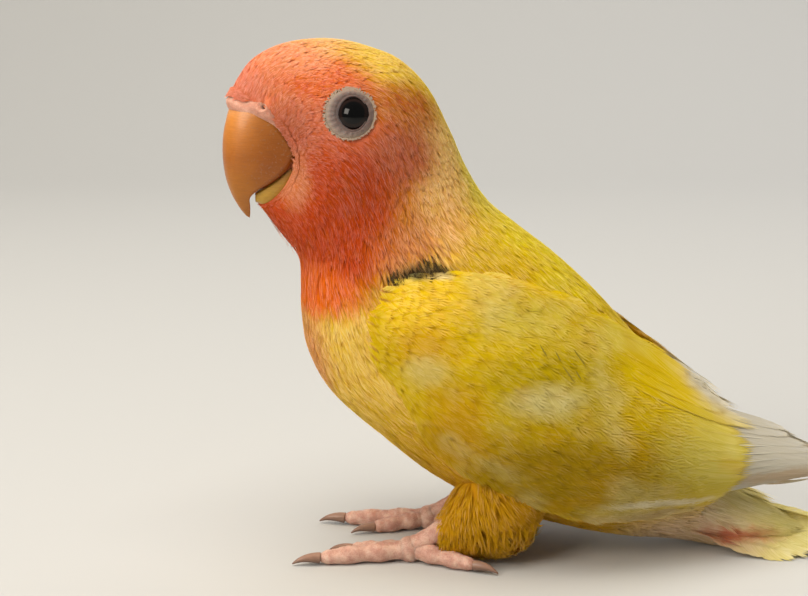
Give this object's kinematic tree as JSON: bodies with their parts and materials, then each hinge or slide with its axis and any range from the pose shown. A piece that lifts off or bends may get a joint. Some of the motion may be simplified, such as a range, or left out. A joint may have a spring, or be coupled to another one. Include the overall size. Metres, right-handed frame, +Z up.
{
  "type": "peach-faced lovebird",
  "caption": "Life-size still model of a small stocky parrot with an orange-red face and yellow plumage, standing with folded wings.",
  "frame": {"origin": "on the floor, under the middle of the bounding box", "axes": "+X towards the tail, so the bill points to -X; the bird's left side is -Y; +Z up"},
  "size_m": [0.1181, 0.0474, 0.0983],
  "materials": {
    "face_feathers": "soft orange-red feathers",
    "neck_feathers": "soft peach to yellow feathers",
    "body_feathers": "soft yellow feathers",
    "wing_feathers": "smooth yellow vanes with paler edges",
    "tail_feathers": "smooth pale yellow vanes",
    "bill_horn": "polished orange-brown horn",
    "cere_skin": "soft pale pink skin",
    "eyeball": "wet, very dark brown",
    "eye_skin": "fine grey-white skin",
    "foot_skin": "flesh-pink scaly skin",
    "claw_horn": "brown horn"
  },
  "bodies": {
    "root": {"head": "face_feathers", "neck": "neck_feathers", "torso": "body_feathers", "cere": "cere_skin", "upper_bill": "bill_horn", "lower_bill": "bill_horn", "eye_left": "eyeball", "eye_right": "eyeball", "eye_ring_left": "eye_skin", "eye_ring_right": "eye_skin", "wing_left": "wing_feathers", "wing_right": "wing_feathers", "tail": "tail_feathers", "thigh_left": "body_feathers", "thigh_right": "body_feathers", "foot_left": "foot_skin", "foot_right": "foot_skin", "claw_outer_front_left": "claw_horn", "claw_inner_front_left": "claw_horn", "claw_outer_rear_left": "claw_horn", "claw_inner_rear_left": "claw_horn", "claw_outer_front_right": "claw_horn", "claw_inner_front_right": "claw_horn", "claw_outer_rear_right": "claw_horn", "claw_inner_rear_right": "claw_horn"}
  },
  "joints": []
}
